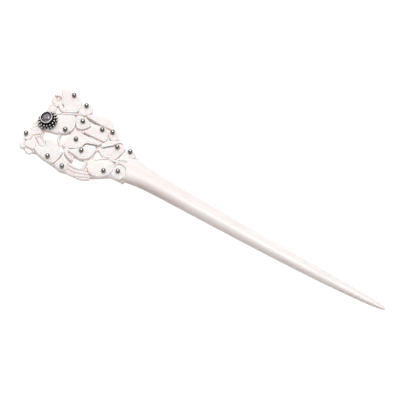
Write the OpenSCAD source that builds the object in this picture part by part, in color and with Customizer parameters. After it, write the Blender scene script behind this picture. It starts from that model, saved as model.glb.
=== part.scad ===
// Carved bone hair pin with silver ball studs and a stone-set silver rosette.
// The pin lies on its back: +X runs along it to the tip, +Z is the carved front,
// and the origin is on the back, under the middle of its length and width.

/* [Pin] */
// Overall length, from the end petals to the tip
pin_length = 180; // [150:5:210]
// Length of the carved head
head_length = 50; // [46:1:54]
// Width of the carved head
head_width = 35; // [33:1:37]
// Width of the shaft where it leaves the neck
shaft_width = 9.4; // [8:0.1:9.8]
// Height of the shaft where it leaves the neck
shaft_height = 4.6; // [4.2:0.1:5.2]

/* [Carving] */
// Height of the wings above the back
relief_height = 4; // [3.6:0.1:4.6]
// Thickness of the pierced web behind the wings
web_thickness = 2.2; // [1.8:0.1:2.6]
// Width of the narrow sawn slits
slit_width = 0.7; // [0.5:0.1:0.9]

/* [Silver] */
// Diameter of a ball stud
ball_d = 2.1; // [1.8:0.1:2.3]
// Diameter of a stud's peg
peg_d = 0.8; // [0.6:0.1:1]
// Depth of a peg in the bone
peg_depth = 2.4; // [1.6:0.1:2.6]
// Diameter of the rosette over its outer granules
rosette_d = 9.4; // [9.2:0.1:9.8]
// Lean of the rosette towards the outer edge of the head, in degrees
rosette_lean = 13; // [6:1:14]
// Diameter of the stone
stone_d = 4.4; // [4:0.1:4.5]

/* [Hidden] */
$fn = 48;
bone_colour = [0.95, 0.91, 0.88];
silver_colour = [0.66, 0.65, 0.63];
dark_silver_colour = [0.33, 0.32, 0.32];
stone_colour = [0.62, 0.54, 0.66];
// The carving is drawn on a head 50 long and 35 wide: x from its end, y from the middle of its width
drawn_length = 50;
drawn_width = 35;
x_scale = head_length / drawn_length;
y_scale = head_width / drawn_width;
head_end = -pin_length / 2;
curve_steps = 4;    // straight pieces between two points of an outline
end_steps = 12;     // straight pieces round the end of a band
slip = 0.03;        // gap left around every silver piece in its seat
carve_root = 1.4;   // depth at which the carved shapes start, inside the web

// --- Outlines of the carving -------------------------------------------------------------------

// Upper left butterfly
WING_A1 = [[3, 17.1], [3.4, 15.5], [5, 14], [6.3, 12.4], [7.3, 10.9], [8.4, 9.6], [8, 8.2], [8.6, 7.2],
           [10.5, 7.9], [13, 9.2], [14.5, 10.4], [14.8, 12.2], [14.6, 14.4], [13.3, 16.3], [11, 17.4],
           [7.2, 17.8]];
WING_A2 = [[14.9, 11.3], [14.6, 13.3], [15, 15.2], [16.5, 16.7], [18.3, 16.8], [19.8, 15.8],
           [20.4, 14.2], [19.8, 12.6], [18.8, 11.2], [17.2, 10.5], [15.6, 10.4]];
WING_A3 = [[15.4, 8.6], [16.8, 9.9], [19.5, 10], [21.5, 9.4], [23.2, 8], [23, 6.8], [22, 5.3],
           [20.6, 4.2], [19, 3.8], [17.8, 4.4], [16.6, 6.4]];
WING_A4 = [[9.3, 6], [11, 7.4], [13, 8.1], [14.8, 8.5], [16.1, 7], [17.2, 4.9], [17.6, 3], [17.1, 1],
           [15.7, -0.9], [13.6, -2.4], [11.5, -3.2], [9, -3.5], [6.5, -2.5], [6, 1], [7.5, 4.4]];
BODY_A = [[9.5, 6.6], [12.5, 8.2], [16.5, 10.3]];

// Lower left butterfly
WING_B1 = [[9.8, -8.4], [11.5, -7.3], [13.3, -7.2], [15.5, -7.9], [18, -8.9], [19.5, -9.6],
           [19.7, -12], [19.4, -14.5], [18.8, -16.2], [16.5, -16.7], [13.5, -16.4], [10.5, -15.8],
           [8.3, -14.8], [7.7, -13.2], [8.6, -11.5], [9.4, -10]];
WING_B2 = [[20.2, -10.2], [20.2, -12.5], [19.6, -15], [19.6, -16.6], [21, -17.3], [23, -17.6],
           [25, -16.8], [25.4, -15.4], [24.8, -13.8], [23.5, -12.4], [22, -11.3]];
WING_B3 = [[18.2, 1.6], [19.5, 2.7], [22, 2.8], [25, 2.7], [29, 3], [31.8, 3], [31.5, 1.7],
           [30.2, 0.7], [27.5, -0.1], [26, -0.9], [25.6, -2.4], [24.3, -4.4], [22, -5.9],
           [20, -6.9], [17.8, -6.9], [16.9, -5.2], [17.2, -3], [17.8, -0.8]];
WING_B4 = [[20.7, -7.3], [22.6, -5.8], [24.6, -4.3], [25.9, -2.6], [26.4, -1.1], [28.5, -0.2],
           [30.4, 0.3], [31.4, -0.9], [31.7, -3], [31.4, -5], [30.4, -6.8], [28.8, -8], [27, -8.5],
           [24.5, -8.1], [22.5, -7.9]];
BODY_B = [[20.3, -7.6], [21.3, -9.2], [24.6, -10.9]];

// Lower right butterfly
WING_C1 = [[32.2, -9], [32.8, -7.3], [34.8, -5.3], [37, -3.6], [39.5, -2.5], [41.5, -2.6],
           [42.6, -3.8], [42.9, -6], [42.7, -8.2], [41.5, -10], [39.5, -11.6], [37, -12.5],
           [34.8, -12.4], [33.6, -11.4], [32.5, -10.4]];
WING_C2 = [[43.2, -2.9], [44.5, -2], [46.5, -1.9], [48, -3.2], [48.9, -5.2], [48.7, -7.2],
           [47.7, -8.3], [45.5, -8.4], [43.7, -7.8], [43.3, -5.8]];
WING_C3 = [[33.2, -0.8], [33.8, 0.8], [35, 2.2], [36.8, 3.8], [38, 5.2], [38.3, 6.4], [40, 7.1],
           [41.5, 6.6], [42.3, 5], [42.2, 2.8], [41.6, 0.8], [41.2, -0.6], [39, -1.3], [37, -2.1],
           [35.4, -2.3]];
WING_C4 = [[42.6, 6.3], [44.5, 7.2], [46.5, 7], [48, 5.4], [48.2, 4.4], [47, 2.8], [45.4, 1.4],
           [43.5, 0.8], [42.2, 1.3], [42.9, 3.2], [43, 4.8]];
BODY_C = [[39.4, -1.9], [41.4, -1.5], [43.6, -1], [46, 0.3]];

// Upper right butterfly
WING_D1 = [[22.2, 3.8], [26, 3.8], [30, 4], [32.4, 4.2], [33, 5.6], [32.4, 7.3], [31.6, 8.9],
           [30.6, 10], [28, 10], [25.5, 9.7], [23.8, 8.6], [23.9, 7.2], [22.9, 5.5]];
WING_D2 = [[32.2, 11.3], [33.5, 11.9], [35.3, 11.2], [37, 9.6], [38.2, 8.2], [37, 7], [35.2, 6.6],
           [33.6, 6.8], [32.6, 8], [32, 9.5]];
WING_D3 = [[19.2, 11.2], [19.9, 12.6], [22, 14], [25, 14.9], [28, 15], [30.8, 14.1], [32.8, 12.6],
           [33.2, 11.6], [31, 11], [28, 10.8], [25.5, 10.7], [22, 10.9]];

// Leaf between the two right-hand butterflies
LEAF = [[32.3, 2.8], [33.2, 1.6], [35, 3.2], [36.5, 4.6], [37.4, 5.9], [38.5, 7.2], [40, 7.8],
        [38.2, 8.2], [36.5, 7.2], [34.5, 6.2], [33.2, 5.2]];

// Curled lobes beside the upper left butterfly
CURL_1 = [[1.2, 12], [1.5, 10.7], [3.1, 9.1], [4.9, 8.2], [5.8, 8.4], [5.5, 9.4], [4.1, 10.6],
          [2.9, 11.8], [1.9, 12.5]];
CURL_2 = [[5.5, 9.6], [6.4, 8.5], [7.9, 7.6], [8.8, 7.8], [8.4, 9.1], [7.4, 10.1], [6.2, 10.8],
          [5.4, 10.5]];
CURL_3 = [[2, 8.6], [3.4, 9], [5.2, 8.2], [5.9, 7], [5.6, 5.4], [4, 4.4], [2.6, 5], [1.9, 6.8]];
CURL_4 = [[6, 6], [6.6, 7.1], [8.2, 7.2], [8.9, 6.8], [8.1, 5.6], [7.1, 5.1]];
CURL_5 = [[3.1, 13], [3.4, 11.9], [4.2, 11.3], [4.7, 12], [4.4, 13], [3.6, 13.4]];
CURL_ARCH = [[2.2, 12.8], [4, 13.6], [5.5, 13.4], [6.3, 12], [7, 10.8]];

// Petals of the flower at the end of the head
PETAL_1 = [[3.1, -9], [2.2, -7.7], [1.9, -6.3], [2.8, -5.1], [4, -4.1], [5.5, -4.5], [6.6, -5.6],
           [6.6, -6.8], [5.2, -7.5], [4.3, -8.5]];
PETAL_2 = [[0.3, -9.6], [2.2, -8.7], [3.7, -9.3], [4, -10.8], [3.2, -12.3], [1.8, -12.6], [0.6, -11.8],
           [0.1, -10.6]];
PETAL_3 = [[4.2, -10.2], [6, -11], [7.4, -12.2], [8, -14], [7.3, -15.2], [5.2, -15.3], [3.4, -15],
           [2.6, -13.6], [3.2, -12.4], [4.1, -11.4]];
PETAL_4 = [[2, -12.7], [1.1, -13.7], [0.8, -15.2], [1.4, -16.3], [2.6, -16.9], [3.8, -16.1],
           [4.1, -15.2], [3.1, -13.8]];
PETAL_5 = [[4.1, -16.4], [4.8, -17.4], [6, -17.8], [7.1, -17.6], [7.7, -16.8], [7.9, -15.7],
           [6.6, -15.6], [5.1, -15.7]];
PETAL_6 = [[5, -9.2], [6.6, -10.1], [8.1, -11.3], [9.6, -12.2], [10.6, -12], [11.2, -10.9],
           [10.8, -9.7], [9.9, -8.8], [8.9, -8], [8.1, -7.5], [6.9, -7.7], [5.8, -8.3]];
PETAL_7 = [[1.3, -6.9], [0.5, -5.4], [0.3, -3.7], [0.6, -2.3], [1.4, -1.6], [2.6, -2.3], [3.4, -3.6],
           [2.5, -4.7], [1.9, -5.8]];

// Leaf stems that sweep along the lower edge
STEM_1 = [[24.5, -12.6], [27, -13], [30.5, -12.4], [33, -11.8]];
STEM_2 = [[23.8, -14], [25.5, -14.6], [28, -14.7], [31, -13.9], [34, -12.9]];
STEM_3 = [[24.3, -16], [27, -16.5], [30, -16], [32.5, -15], [35.2, -13.7]];
STEM_4 = [[31, -16.6], [33.5, -16], [36, -14.4]];
STEM_5 = [[30.6, -8], [31, -10], [31.3, -12]];
STEM_6 = [[31.7, -8.3], [32.7, -6.2], [34.4, -4.3], [36.2, -2.7], [37.9, -1.7]];
FEELER = [[13.5, -2.8], [14.6, -5.2], [16.5, -7]];

// Pierced web behind the carving: its outer edge, from the upper left clockwise, and its openings
WEB = [[3.4, 16.4], [7, 17.1], [10.5, 16.6], [13, 15.4], [14.8, 14.7], [16.5, 16.2], [18.5, 16.3],
       [20, 15], [20.6, 13.4], [23, 14.2], [26, 14.7], [29, 14.4], [32, 12.9], [34, 11.5], [36.5, 9.7],
       [38.2, 8.1], [41, 6.8], [44.5, 6.9], [46.8, 6.4], [48, 5.2], [50, 4.4], [50, -7], [48, -8],
       [45.5, -8.2], [43.5, -8.4], [41.5, -9.7], [38.5, -11.8], [36, -13.4], [33, -15.6],
       [30, -16.4], [26, -16.7], [23, -17.4], [20.5, -17], [17, -16.5], [13, -16.2], [9.5, -15.4],
       [7.6, -16], [6, -17], [4.5, -16.6], [3, -16.1], [1.5, -15.7], [1, -13.6], [0.9, -11.5],
       [0.7, -9.8], [1.5, -8.4], [1.4, -6], [1.7, -3.8], [2.4, -1], [2.4, 3], [2.4, 5], [2.3, 7.5],
       [1.8, 10.5], [1.9, 12.2], [3.4, 13.2], [4, 14.5]];
OPENING_1 = [[7, -3.6], [9, -2.9], [12.6, -2.2], [13.4, -3.5], [14.3, -5.4], [15.2, -6.9], [13, -6.9],
             [11.3, -7], [9.6, -8], [8.4, -7.6], [7.6, -6]];
OPENING_2 = [[14.3, -1.6], [15.8, -0.3], [17.2, 1.2], [17.3, -1.5], [16.7, -4], [16.6, -6], [15.3, -4.4]];
OPENING_3 = [[24.7, -8.3], [27, -8.2], [29.6, -7.7], [30.2, -9.4], [30.4, -11.6], [27.5, -12.1],
             [25.1, -11.8], [25.3, -10.2]];
OPENING_4 = [[31.9, -0.3], [33.8, -1.2], [35.7, -2.1], [33.9, -3.5], [32.3, -5.6], [31.9, -3.9]];
SLIT_1 = [[19.5, 10.4], [23, 10.4], [26.4, 10.2]];
SLIT_2 = [[21.2, 3.2], [23, 3.2], [25.4, 3.1]];
SLIT_3 = [[25.8, -1.9], [26.3, -0.8], [28.5, 0.2], [30.6, 0.9]];
SLIT_4 = [[33.6, 0.9], [35, 2.8], [37.4, 4.9]];

// [outline, height above relief_height]
SHAPES = [[WING_A1, 0], [WING_A2, -0.2], [WING_A3, 0], [WING_A4, -0.1],
          [WING_B1, 0], [WING_B2, -0.1], [WING_B3, 0], [WING_B4, -0.1],
          [WING_C1, 0.1], [WING_C2, 0], [WING_C3, 0], [WING_C4, 0],
          [WING_D1, -0.1], [WING_D2, -0.2], [WING_D3, -0.4], [LEAF, -0.2],
          [CURL_1, -0.4], [CURL_2, -0.2], [CURL_3, -0.8], [CURL_4, -0.5], [CURL_5, -0.7],
          [PETAL_1, -0.6], [PETAL_2, -0.2], [PETAL_3, -0.2], [PETAL_4, -0.5], [PETAL_5, -0.7],
          [PETAL_6, 0.15], [PETAL_7, -1.1]];
// [centre line, width, height above relief_height]
RIBBONS = [[BODY_A, 1.1, -0.15], [BODY_B, 2.2, 0.2], [BODY_C, 1.5, 0.15], [CURL_ARCH, 1, -0.1],
           [STEM_1, 1.2, -0.9], [STEM_2, 1.7, -0.6], [STEM_3, 1.6, -0.8], [STEM_4, 1, -1.2],
           [STEM_5, 1.6, -0.7], [STEM_6, 1.1, -0.7], [FEELER, 1.1, -0.8]];

// Ball studs: [x, y, height of the wing under the ball above relief_height]
STUDS = [[9.4, 16.6, 0], [16.7, 15.1, -0.2], [19.4, 7.6, 0], [14.9, 0.2, -0.1], [28.9, 8.5, -0.1],
         [33.4, 9.9, -0.2], [1.1, -10.3, -0.2], [21.5, -1.5, 0], [26.4, -5, -0.1], [39.1, 4.6, 0],
         [45.1, 5.6, 0], [15.2, -15.1, 0], [23.2, -16, -0.1], [40, -8.5, 0.1], [45.5, -5.4, 0]];
ball_rise = 0.8;    // height of a ball's centre above its wing
ball_r = ball_d / 2;

// Half sections of the neck and shaft: [distance from the tip, share of shaft_width, share of shaft_height]
TAPER = [[0, 0.03, 0.04], [0.5, 0.14, 0.15], [1.5, 0.21, 0.23], [4, 0.3, 0.33], [8, 0.38, 0.42],
         [16, 0.49, 0.55], [30, 0.61, 0.67], [43, 0.68, 0.75], [57, 0.74, 0.82], [70, 0.8, 0.87],
         [84, 0.86, 0.92], [97, 0.93, 0.97], [111, 1, 1], [119, 1.07, 1], [124, 1.15, 0.98],
         [128, 1.28, 0.95], [132, 1.42, 0.93], [136, 1.54, 0.9]];
neck_reach = 136;     // distance from the tip at which the neck ends inside the head
tip_lift = 1.2;       // how far the shaft curves up towards the tip
shaft_y = -1.2;       // offset of the neck's centre line from the middle of the head's width
bow_reach = 120;      // length from the tip over which the shaft bows sideways
shaft_bow = 0.6;      // how far its middle bows
tip_aside = 0.5;      // how far its tip ends to the same side
front_share = 0.55;   // share of the shaft's height in front of its widest line
ridge_power = 1.7;    // under 2 the front of the shaft has a ridge
back_power = 2.2;     // over 2 the back is flatter than a circle
ring_sides = 32;
ring_gap = 4;

// Rosette: radii and heights along its own axis
rosette_at = [6.3, -0.1];
rosette_seat_z = relief_height + 0.1;
rosette_turn = 31;       // direction in which it leans, in degrees from the pin's length
rosette_r = rosette_d / 2;
plate_r = rosette_r - 0.55;
plate_t = 0.45;
post_r = 0.6;
post_depth = 2.4;
granule_r = 0.52;
granule_spread = 1.28;   // spacing of the granules in a ring, in diameters
// [ring radius, height of the granules' centres, direction of the first granule in degrees]
GRANULE_RINGS = [[rosette_r - granule_r, 1.1, 7.5], [rosette_r - granule_r - 0.68, 2.18, 0]];
dome_r = rosette_r - 0.55;
dome_wall = 0.5;
dome_top_z = 2.78;
bezel_r = stone_d / 2 + 0.57;
bezel_rim = 0.32;        // width of the bright rim of the bezel
bezel_lip = 0.12;        // how far the bezel reaches over the stone
bezel_floor_z = 2.63;
bezel_top_z = 4.2;
girdle_z = 3.45;
girdle_t = 0.25;
crown_h = 0.5;
culet_h = 0.55;

// --- Curves ------------------------------------------------------------------------------------

// From the head's drawing to the part's frame
function placed(p) = [head_end + p[0] * x_scale, p[1] * y_scale];

// Catmull-Rom point between b and c
function spline(a, b, c, d, t) =
    0.5 * (2 * b + (c - a) * t + (2 * a - 5 * b + 4 * c - d) * t * t + (3 * b - a - 3 * c + d) * t * t * t);

function closed_curve(p) =
    let (n = len(p))
    [for (i = [0:n - 1]) for (k = [0:curve_steps - 1])
        placed(spline(p[(i + n - 1) % n], p[i], p[(i + 1) % n], p[(i + 2) % n], k / curve_steps))];

function open_curve(p) =
    let (n = len(p))
    [for (i = [0:n - 2]) for (k = [0:curve_steps - (i == n - 2 ? 0 : 1)])
        placed(spline(p[max(i - 1, 0)], p[i], p[i + 1], p[min(i + 2, n - 1)], k / curve_steps))];

function left_of(a, b) = [a[1] - b[1], b[0] - a[0]] / norm(b - a);

// Half circle from one side of a band's end to the other, clockwise
function round_end(centre, side) =
    [for (k = [1:end_steps - 1])
        let (a = -180 * k / end_steps)
        centre + [side[0] * cos(a) - side[1] * sin(a), side[0] * sin(a) + side[1] * cos(a)]];

// Outline of a band of the given width along a centre line, with round ends
function band(p, w) =
    let (c = open_curve(p), n = len(c),
         side = [for (i = [0:n - 1]) left_of(c[max(i - 1, 0)], c[min(i + 1, n - 1)]) * w / 2])
    concat([for (i = [0:n - 1]) c[i] + side[i]], round_end(c[n - 1], side[n - 1]),
           [for (i = [n - 1:-1:0]) c[i] - side[i]], round_end(c[0], -side[0]));

// --- Bone pin ----------------------------------------------------------------------------------

module web() {
    linear_extrude(web_thickness) difference() {
        polygon(closed_curve(WEB));
        for (opening = [OPENING_1, OPENING_2, OPENING_3, OPENING_4]) polygon(closed_curve(opening));
        for (slit = [SLIT_1, SLIT_2, SLIT_3, SLIT_4]) polygon(band(slit, slit_width));
    }
}

module carving() {
    for (shape = SHAPES)
        translate([0, 0, carve_root])
            linear_extrude(relief_height + shape[1] - carve_root) polygon(closed_curve(shape[0]));
    for (shape = RIBBONS)
        translate([0, 0, carve_root])
            linear_extrude(relief_height + shape[2] - carve_root) polygon(band(shape[0], shape[1]));
}

// Superellipse: a ridge on the front of the shaft, a flatter curve on its back
function rounded(s, power) = sign(s) * pow(abs(s), 2 / power);

function shaft_ring(d) =
    let (w = shaft_width * lookup(d, [for (t = TAPER) [t[0], t[1]]]),
         h = shaft_height * lookup(d, [for (t = TAPER) [t[0], t[2]]]),
         along = min(d / bow_reach, 1),
         y = shaft_y - shaft_bow * sin(180 * along) - tip_aside * (1 - along),
         lift = tip_lift * pow(1 - d / neck_reach, 3),
         z = shaft_height * (1 - front_share) + lift)
    [for (k = [0:ring_sides - 1])
        let (a = 360 * k / ring_sides, power = sin(a) > 0 ? ridge_power : back_power)
        [pin_length / 2 - d, y + w / 2 * rounded(cos(a), power),
         z + h * (sin(a) > 0 ? front_share : 1 - front_share) * rounded(sin(a), power)]];

module shaft() {
    stations = concat([for (t = TAPER) if (t[0] < 8) t[0]], [for (d = [8:ring_gap:neck_reach]) d]);
    rings = [for (d = stations) shaft_ring(d)];
    last = len(rings) - 1;
    points = [for (ring = rings) each ring];
    sides = [for (i = [0:last - 1]) for (k = [0:ring_sides - 1])
        let (a = i * ring_sides + k, b = i * ring_sides + (k + 1) % ring_sides)
        each [[a, b, b + ring_sides], [a, b + ring_sides, a + ring_sides]]];
    ends = [[for (k = [ring_sides - 1:-1:0]) k], [for (k = [0:ring_sides - 1]) last * ring_sides + k]];
    polyhedron(points, concat(sides, ends));
}

// Moves a child to the rosette's place and leans it outwards
module at_rosette() {
    translate(concat(placed(rosette_at), rosette_seat_z)) rotate([0, 0, rosette_turn]) rotate([0, -rosette_lean, 0])
        children();
}

module rosette_boss() {
    intersection() {
        at_rosette() translate([0, 0, -6]) cylinder(r = plate_r - 0.3, h = 6);
        translate(concat(placed(rosette_at) - [6, 6], 0)) cube([12, 12, relief_height + 2]);
    }
}

function stud_place(i) = concat(placed(STUDS[i]), relief_height + STUDS[i][2]);

module stud_seat(i) {
    translate(stud_place(i)) {
        translate([0, 0, ball_rise]) sphere(r = ball_r + slip);
        translate([0, 0, -peg_depth]) cylinder(d = peg_d, h = peg_depth + ball_rise);
    }
}

module bone_pin() {
    color(bone_colour) difference() {
        union() {
            web();
            carving();
            shaft();
            rosette_boss();
        }
        for (i = [0:len(STUDS) - 1]) stud_seat(i);
        at_rosette() cylinder(r = rosette_r + 0.3, h = 5);
        at_rosette() translate([0, 0, -post_depth]) cylinder(r = post_r, h = post_depth + 1);
    }
}

// --- Silver ------------------------------------------------------------------------------------

module ball_stud(i) {
    color(silver_colour) translate(stud_place(i)) {
        translate([0, 0, ball_rise]) sphere(r = ball_r);
        translate([0, 0, -peg_depth]) cylinder(d = peg_d, h = peg_depth + ball_rise);
    }
}

module rosette_plate() {
    color(dark_silver_colour) at_rosette() difference() {
        cylinder(r = plate_r, h = plate_t);
        translate([0, 0, -1]) cylinder(r = post_r, h = plate_t + 2);
    }
}

module rosette_post() {
    color(silver_colour) at_rosette() translate([0, 0, -post_depth])
        cylinder(r = post_r, h = post_depth + plate_t);
}

// Domed skirt, hollow underneath, with a round trough for each ring of granules
module rosette_dome() {
    inner_r = dome_r - dome_wall;
    color(dark_silver_colour) at_rosette() difference() {
        rotate_extrude() difference() {
            polygon([[0, plate_t], [dome_r, plate_t], [dome_r, plate_t + 0.35], [bezel_r + 0.5, 2.3],
                     [bezel_r + 0.25, dome_top_z], [0, dome_top_z]]);
            polygon([[0, plate_t - 1], [inner_r, plate_t - 1], [inner_r, plate_t + 0.05], [inner_r - 1, 1.4],
                     [inner_r - 1.4, 2.05], [0, 2.05]]);
            for (ring = GRANULE_RINGS) translate([ring[0], ring[1]]) circle(r = granule_r + slip);
            translate([0, bezel_floor_z]) square([bezel_r + slip, 3]);
        }
    }
}

module granules(ring) {
    count = floor(180 / asin(granule_spread * granule_r / ring[0]));
    color(silver_colour) at_rosette()
        for (k = [0:count - 1]) rotate([0, 0, ring[2] + 360 * k / count]) translate([ring[0], 0, ring[1]])
            sphere(r = granule_r, $fn = 24);
}

// Cup with a flat floor, a bright rim and a bevel inside it that runs down to the stone's edge
module bezel_cup() {
    stone_r = stone_d / 2;
    seat_r = stone_r - 0.4;
    floor_t = 0.2;
    girdle_top = girdle_z + girdle_t;
    color(silver_colour) at_rosette() rotate_extrude()
        polygon([[0, bezel_floor_z], [bezel_r, bezel_floor_z], [bezel_r, bezel_top_z - 0.12],
                 [bezel_r - 0.12, bezel_top_z], [bezel_r - bezel_rim, bezel_top_z],
                 [stone_r - bezel_lip, girdle_top + 0.15], [stone_r + slip, girdle_top + 0.05],
                 [stone_r + slip, girdle_z - slip], [seat_r, girdle_z - 0.4],
                 [seat_r, bezel_floor_z + floor_t], [0, bezel_floor_z + floor_t]]);
}

module stone() {
    table_r = stone_d * 0.29;
    color(stone_colour) at_rosette() translate([0, 0, girdle_z]) {
        translate([0, 0, girdle_t]) rotate([0, 0, 11.25])
            cylinder(r1 = stone_d / 2 - 0.16, r2 = table_r, h = crown_h, $fn = 16);
        cylinder(r = stone_d / 2 - 0.02, h = girdle_t);
        translate([0, 0, -culet_h]) cylinder(r1 = stone_d * 0.16, r2 = stone_d / 2 - 0.5, h = culet_h);
    }
}

bone_pin();
ball_stud(0);  // ball_stud_01
ball_stud(1);  // ball_stud_02
ball_stud(2);  // ball_stud_03
ball_stud(3);  // ball_stud_04
ball_stud(4);  // ball_stud_05
ball_stud(5);  // ball_stud_06
ball_stud(6);  // ball_stud_07
ball_stud(7);  // ball_stud_08
ball_stud(8);  // ball_stud_09
ball_stud(9);  // ball_stud_10
ball_stud(10);  // ball_stud_11
ball_stud(11);  // ball_stud_12
ball_stud(12);  // ball_stud_13
ball_stud(13);  // ball_stud_14
ball_stud(14);  // ball_stud_15
rosette_plate();
rosette_post();
rosette_dome();
granules(GRANULE_RINGS[0]);  // granules_outer
granules(GRANULE_RINGS[1]);  // granules_inner
bezel_cup();
stone();
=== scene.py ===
"""Looks of the carved bone hair pin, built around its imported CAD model.

The pin lies on its back: +X runs along it to the tip and +Z is the carved front. The carving is drawn
in millimetres on the head, x from the head's end and y from the middle of its width. It is modelled as
a signed distance field, in a carver's order: the pierced blank, then each petal, wing and stem that
stands up from it, with a narrow groove round its foot. The silver is built piece by piece where the
CAD model has it.
"""

import math
import random
from dataclasses import dataclass
from itertools import product

import bmesh
import bpy
import numpy as np
from mathutils import Matrix, Vector, noise


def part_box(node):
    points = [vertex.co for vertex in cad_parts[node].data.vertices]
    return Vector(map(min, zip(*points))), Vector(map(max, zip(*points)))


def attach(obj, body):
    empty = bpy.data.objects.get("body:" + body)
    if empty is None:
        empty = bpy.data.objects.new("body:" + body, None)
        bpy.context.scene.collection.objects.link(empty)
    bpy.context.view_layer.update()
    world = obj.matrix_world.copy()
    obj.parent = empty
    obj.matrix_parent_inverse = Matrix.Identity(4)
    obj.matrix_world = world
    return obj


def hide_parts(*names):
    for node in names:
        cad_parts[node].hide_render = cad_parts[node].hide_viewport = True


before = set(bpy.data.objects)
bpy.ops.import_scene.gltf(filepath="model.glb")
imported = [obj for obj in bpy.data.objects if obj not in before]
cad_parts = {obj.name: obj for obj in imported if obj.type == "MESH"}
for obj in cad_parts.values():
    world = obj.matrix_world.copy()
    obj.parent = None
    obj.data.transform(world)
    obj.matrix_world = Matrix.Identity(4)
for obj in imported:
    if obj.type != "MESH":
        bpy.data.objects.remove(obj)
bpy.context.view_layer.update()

MM = 0.001

# --- Sizes shared with the CAD model, in mm ---

RELIEF = 4.0         # height of the wings above the back
WEB = 2.2            # thickness of the pierced web behind them
ROOT = 1.4           # height of the undersides of the wings
SLIT_WIDTH = 0.7
SHAFT_WIDTH = 9.4
SHAFT_HEIGHT = 4.6
SHAFT_Y = -1.2       # offset of the neck's centre line from the middle of the head's width
BOW_REACH = 120      # length from the tip over which the shaft bows sideways
SHAFT_BOW = 0.6      # how far its middle bows
TIP_ASIDE = 0.5      # how far its tip ends to the same side
TIP_LIFT = 1.2       # how far the shaft curves up towards the tip
NECK_REACH = 136     # distance from the tip at which the neck ends inside the head
RIDGE_POWER = 1.7    # superellipse powers of the shaft's front and back
BACK_POWER = 2.2
BACK_SHARE = 0.45    # share of the shaft's height that lies behind its widest line
NECK_OVERLAP = 1.5   # how much further the neck runs on into the head here
PEG_RADIUS = 0.4
ROSETTE_RADIUS = 4.7
PLATE_RADIUS = ROSETTE_RADIUS - 0.55
PLATE_THICKNESS = 0.45
POST_RADIUS = 0.6
POST_DEPTH = 2.4
GRANULE_RADIUS = 0.52
GRANULE_SPREAD = 1.28  # spacing of the granules in a ring, in diameters
# Radius of each ring of granules, height of their centres and direction of the first one in degrees
GRANULE_RINGS = {"granules_outer": (ROSETTE_RADIUS - GRANULE_RADIUS, 1.1, 7.5),
                 "granules_inner": (ROSETTE_RADIUS - GRANULE_RADIUS - 0.68, 2.18, 0)}
GRANULE_SEED = 11
DOME_TOP = 2.78
STONE_RADIUS = 2.2
BEZEL_RADIUS = STONE_RADIUS + 0.57
BEZEL_RIM = 0.32     # width of the bright rim of the bezel
BEZEL_LIP = 0.12     # how far the bezel reaches over the stone
BEZEL_FLOOR = 2.63
BEZEL_TOP = 4.2
GIRDLE = 3.45        # height of the underside of the stone's girdle
GIRDLE_TOP = 3.7
CROWN = 0.5          # height of the stone above its girdle, and depth below it
PAVILION = 0.55
SLIP = 0.03          # gap round every silver piece in its seat
SEAT_TURN = 31       # direction in which the rosette leans, in degrees from the pin's length

# --- Carver's details that the CAD model leaves out, in mm ---

WEB_ROUNDING = 0.3   # rounding of the edges of the web, the wings and the stems
WING_ROUNDING = 0.32
STEM_ROUNDING = 0.22
FILLET = 0.1         # blend between a raised shape and what it stands on
NECK_FILLET = 0.6
BOSS_FILLET = 0.4    # round the rosette's boss
GROOVE_REACH = 0.14  # width of the groove round a raised shape
GROOVE_ROUNDING = 0.12
STEM_GROOVE = 0.76   # depth of the groove round a stem
WING_SLOPE = 2.6     # distance over which a wing falls towards its edge
LINE = 0.16          # half width and depth of the line engraved along a wing's edge
RING_DEPTH = 0.16    # depth of the rings across a body
FLUTE_DEPTH = 0.1    # depth of the flutes along a stem
TOOLING = 0.05       # unevenness left by the tools
SEAT_ROOM = 0.3      # room kept round the rosette
# How the brown grime and painted shade in the grooves are laid on
GRIME_SHADE_AROUND = 0.8   # how far round a point the carving's height is averaged
GRIME_SHADE_DEPTHS = (0.2, 1.7)   # depths between which the grime and painted shade in the grooves grow
GRIME_SHADE_HEIGHTS = (0.6, 1.6)  # heights over which it sets in
GRIME_SHADE_END = (50.5, 53)      # lengths from the head's end over which it stops
# Where the painted shade on the lower side is kept off the head's front
FRONT_HEIGHTS = (1.6, 2.8)  # heights over which the head's front, kept free of that painted shade, begins
FRONT_END = (46, 50)        # lengths from the head's end over which it stops

# --- The carving's grid, in mm ---

STEP = 0.13  # spacing of its lines over the head
FINE_LENGTH = 52     # length from the head's end over which they have that spacing
SHAFT_STEP = 1.4     # longest spacing along the shaft
SHAFT_GROWTH = 1.08  # how much wider each space along the shaft is than the last
TIP_STEP = 0.15      # spacing at the tip, and how it widens from there
TIP_GROWTH = 1.12
TIP_LINES = 20
MARGIN = 1.5         # how far round a shape the field is worked on
FAR = 9              # distance written where there is no bone yet
BONE_TRIANGLES = 185000
CURVE_STEPS = 6      # straight pieces between two points of an outline
SURFACE_STEPS = 3    # empty grid steps kept round the bone


def mm_box(node):
    """Lowest and highest corners of a CAD node, in mm."""
    low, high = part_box(node)
    return np.array(low) / MM, np.array(high) / MM


BONE_LOW, BONE_HIGH = mm_box("bone_pin")
HEAD_END, TIP = BONE_LOW[0], BONE_HIGH[0]


# --- Curves and distances ---

def smoothstep(value, low, high):
    t = np.clip((value - low) / (high - low), 0, 1)
    return t * t * (3 - 2 * t)


def spline(points, closed):
    """Catmull-Rom curve through points, closed into a loop or open."""
    p = np.array(points, float)
    if closed:
        p = np.vstack([p[-1:], p, p[:2]])
    else:
        p = np.vstack([p[:1], p, p[-1:]])
    t = np.linspace(0, 1, CURVE_STEPS, endpoint=False)[:, None]
    curve = [0.5 * (2 * b + (c - a) * t + (2 * a - 5 * b + 4 * c - d) * t ** 2
                    + (3 * b - a - 3 * c + d) * t ** 3)
             for a, b, c, d in zip(p, p[1:], p[2:], p[3:])]
    if not closed:
        curve.append(p[-1:])
    return np.vstack(curve)


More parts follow.
